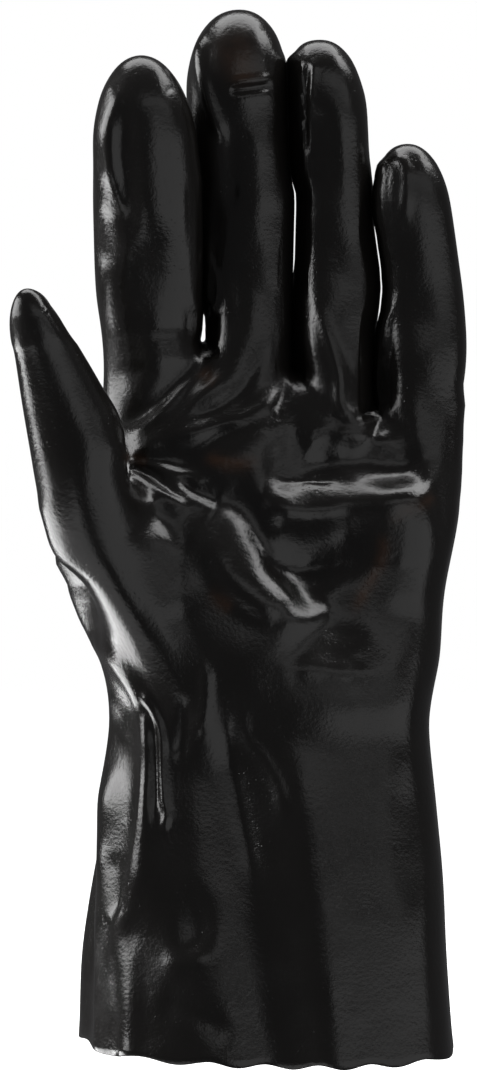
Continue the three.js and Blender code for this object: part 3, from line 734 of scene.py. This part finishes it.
# glossy black coating outside, dark knit inside. Scales are per metre, depths in metres, and a range gives
# the noise values between which a patch comes in
coating = {
    "colour": (0.0075, 0.0068, 0.0062, 1),
    "warmColour": (0.04, 0.019, 0.01, 1),
    "insideColour": (0.035, 0.034, 0.033, 1),
    "ior": 1.52,
    "roughness": 0.2,
    "roughnessSpread": 0.12,
    "glossScale": 60,
    "glossRange": (0.3, 0.7),
    "insideRoughness": 0.85,
    "warmScale": 120,
    "warmRange": (0.35, 0.6),
    "warmLeast": 0.3,
    "waveScale": 75,
    "waveDepth": 0.00035,
    "peelScale": 900,
    "peelDepth": 0.00007,
    "pitScale": 620,
    "pitRange": (0.04, 0.2),
    "pitDepth": 0.00005,
    "pitPatchScale": 70,
    "pitPatchRange": (0.45, 0.6),
    "grainScale": 3200,
    "grainDepth": 0.00003,
}


def makeCoating():
    material = bpy.data.materials.new("glossyCoating")
    material.use_nodes = True
    nodes, links = material.node_tree.nodes, material.node_tree.links
    shader = nodes["Principled BSDF"]
    place = nodes.new("ShaderNodeTexCoord").outputs["Object"]

    def readMark(name):
        node = nodes.new("ShaderNodeAttribute")
        node.attribute_name = name
        return node.outputs["Fac"]

    def noise(scale, detail):
        node = nodes.new("ShaderNodeTexNoise")
        node.inputs["Scale"].default_value = scale
        node.inputs["Detail"].default_value = detail
        links.new(place, node.inputs["Vector"])
        return node.outputs["Fac"]

    def remap(value, source, target):
        node = nodes.new("ShaderNodeMapRange")
        node.inputs["From Min"].default_value, node.inputs["From Max"].default_value = source
        node.inputs["To Min"].default_value, node.inputs["To Max"].default_value = target
        links.new(value, node.inputs["Value"])
        return node.outputs["Result"]

    def combine(operation, first, second):
        node = nodes.new("ShaderNodeMath")
        node.operation = operation
        links.new(first, node.inputs[0])
        links.new(second, node.inputs[1])
        return node.outputs["Value"]

    def mixColour(factor, first, second):
        node = nodes.new("ShaderNodeMix")
        node.data_type = "RGBA"
        for socket, value in (("A", first), ("B", second)):
            target = next(s for s in node.inputs if s.name == socket and s.type == "RGBA")
            if isinstance(value, tuple):
                target.default_value = value
            else:
                links.new(value, target)
        links.new(factor, node.inputs["Factor"])
        return next(s for s in node.outputs if s.type == "RGBA")

    def bump(height, distance, after=None):
        node = nodes.new("ShaderNodeBump")
        node.inputs["Distance"].default_value = distance
        links.new(height, node.inputs["Height"])
        if after:
            links.new(after, node.inputs["Normal"])
        return node.outputs["Normal"]

    insideMark = readMark("inside")
    warmNoise = remap(noise(coating["warmScale"], detail=3), coating["warmRange"], (coating["warmLeast"], 1))
    patches = combine("MULTIPLY", readMark("warm"), warmNoise)
    colour = mixColour(patches, coating["colour"], coating["warmColour"])
    colour = mixColour(insideMark, colour, coating["insideColour"])
    links.new(colour, shader.inputs["Base Color"])

    low = coating["roughness"] - coating["roughnessSpread"] / 2
    glossEnds = (low, low + coating["roughnessSpread"])
    rough = nodes.new("ShaderNodeMix")
    rough.inputs["B"].default_value = coating["insideRoughness"]
    links.new(insideMark, rough.inputs["Factor"])
    gloss = remap(noise(coating["glossScale"], detail=4), coating["glossRange"], glossEnds)
    links.new(gloss, rough.inputs["A"])
    links.new(rough.outputs["Result"], shader.inputs["Roughness"])

    # pits only in some patches: elsewhere the surface stays at its full height
    pits = nodes.new("ShaderNodeTexVoronoi")
    pits.inputs["Scale"].default_value = coating["pitScale"]
    links.new(place, pits.inputs["Vector"])
    pitHeight = remap(pits.outputs["Distance"], coating["pitRange"], (0, 1))
    unpitted = remap(noise(coating["pitPatchScale"], detail=2), coating["pitPatchRange"], (1, 0))
    normal = bump(noise(coating["waveScale"], detail=1), coating["waveDepth"])
    normal = bump(noise(coating["peelScale"], detail=1), coating["peelDepth"], normal)
    normal = bump(combine("MAXIMUM", pitHeight, unpitted), coating["pitDepth"], normal)
    normal = bump(noise(coating["grainScale"], detail=2), coating["grainDepth"], normal)
    links.new(normal, shader.inputs["Normal"])
    shader.inputs["IOR"].default_value = coating["ior"]
    return material


glove.data.materials.append(makeCoating())
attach(glove, "root")
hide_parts(shell["node"])
print("coating made")


# pale floor and studio light
studio = {
    "middle": (0, 0, 0.15),  # what the lights are aimed at
    "reach": 1.6,  # how far away they stand
    "floorDrop": 0.12,  # the floor lies this far below the cuff
    "floorSize": 12,
    "floorColour": (0.92, 0.92, 0.92, 1),
    "floorRoughness": 0.9,
    "floorGlow": 1.0,
    "behind": (1, 1, 1, 1),  # the pale surroundings that the camera sees
    "surroundings": (0.075, 0.075, 0.078, 1),  # the dim studio that the gloss reflects
}


# azimuth 0 is towards the camera and grows to the right; all angles are in degrees, seen from the glove
softboxes = [
    {"name": "leftLow", "azimuth": -112, "elevation": -30, "wide": 42, "high": 28, "radiance": 7.5},
    {"name": "leftHigh", "azimuth": -88, "elevation": 16, "wide": 52, "high": 28, "radiance": 6},
    {"name": "rightPanel", "azimuth": 49, "elevation": -20, "wide": 74, "high": 44, "radiance": 0.62},
    {"name": "cuffPanel", "azimuth": 28, "elevation": 17, "wide": 64, "high": 16, "radiance": 0.5},
    {"name": "lowerLeft", "azimuth": -62, "elevation": -50, "wide": 60, "high": 24, "radiance": 0.8},
    {"name": "upperRight", "azimuth": 82, "elevation": 45, "wide": 32, "high": 22, "radiance": 4.5},
    {"name": "overhead", "azimuth": 180, "elevation": 86, "wide": 70, "high": 38, "radiance": 4.6},
]


def addFloor():
    bpy.ops.mesh.primitive_plane_add(size=studio["floorSize"], location=(0, 0, -studio["floorDrop"]))
    floor = bpy.context.object
    floor.name = "paleFloor"
    bpy.ops.object.transform_apply(location=True, rotation=True, scale=True)
    material = bpy.data.materials.new("paleFloor")
    material.use_nodes = True
    shader = material.node_tree.nodes["Principled BSDF"]
    shader.inputs["Base Color"].default_value = studio["floorColour"]
    shader.inputs["Roughness"].default_value = studio["floorRoughness"]
    shader.inputs["Emission Color"].default_value = studio["behind"]
    shader.inputs["Emission Strength"].default_value = studio["floorGlow"]
    floor.data.materials.append(material)
    # the floor is only for the camera: the gloss and the shadows take no part in it
    floor.visible_glossy = False
    floor.visible_diffuse = False
    floor.visible_shadow = False


def addSoftbox(box):
    azimuth, elevation = math.radians(box["azimuth"]), math.radians(box["elevation"])
    direction = Vector((math.sin(azimuth) * math.cos(elevation), -math.cos(azimuth) * math.cos(elevation),
                        math.sin(elevation)))
    light = bpy.data.lights.new(box["name"], "AREA")
    light.shape = "RECTANGLE"
    light.size = 2 * studio["reach"] * math.tan(math.radians(box["wide"] / 2))
    light.size_y = 2 * studio["reach"] * math.tan(math.radians(box["high"] / 2))
    light.energy = box["radiance"] * math.pi * light.size * light.size_y
    lamp = bpy.data.objects.new(box["name"], light)
    bpy.context.scene.collection.objects.link(lamp)
    lamp.location = Vector(studio["middle"]) + direction * studio["reach"]
    lamp.rotation_euler = (-direction).to_track_quat("-Z", "Y").to_euler()


def setWorld():
    world = bpy.data.worlds.new("studioSurroundings")
    world.use_nodes = True
    bpy.context.scene.world = world
    nodes, links = world.node_tree.nodes, world.node_tree.links
    seen = nodes["Background"]
    seen.inputs["Color"].default_value = studio["behind"]
    dim = nodes.new("ShaderNodeBackground")
    dim.inputs["Color"].default_value = studio["surroundings"]
    rays = nodes.new("ShaderNodeLightPath")
    choose = nodes.new("ShaderNodeMixShader")
    links.new(rays.outputs["Is Camera Ray"], choose.inputs["Fac"])
    links.new(dim.outputs["Background"], choose.inputs[1])
    links.new(seen.outputs["Background"], choose.inputs[2])
    links.new(choose.outputs["Shader"], nodes["World Output"].inputs["Surface"])


addFloor()
setWorld()
for box in softboxes:
    addSoftbox(box)
bpy.context.scene.view_settings.view_transform = "Standard"
print("studio lit")
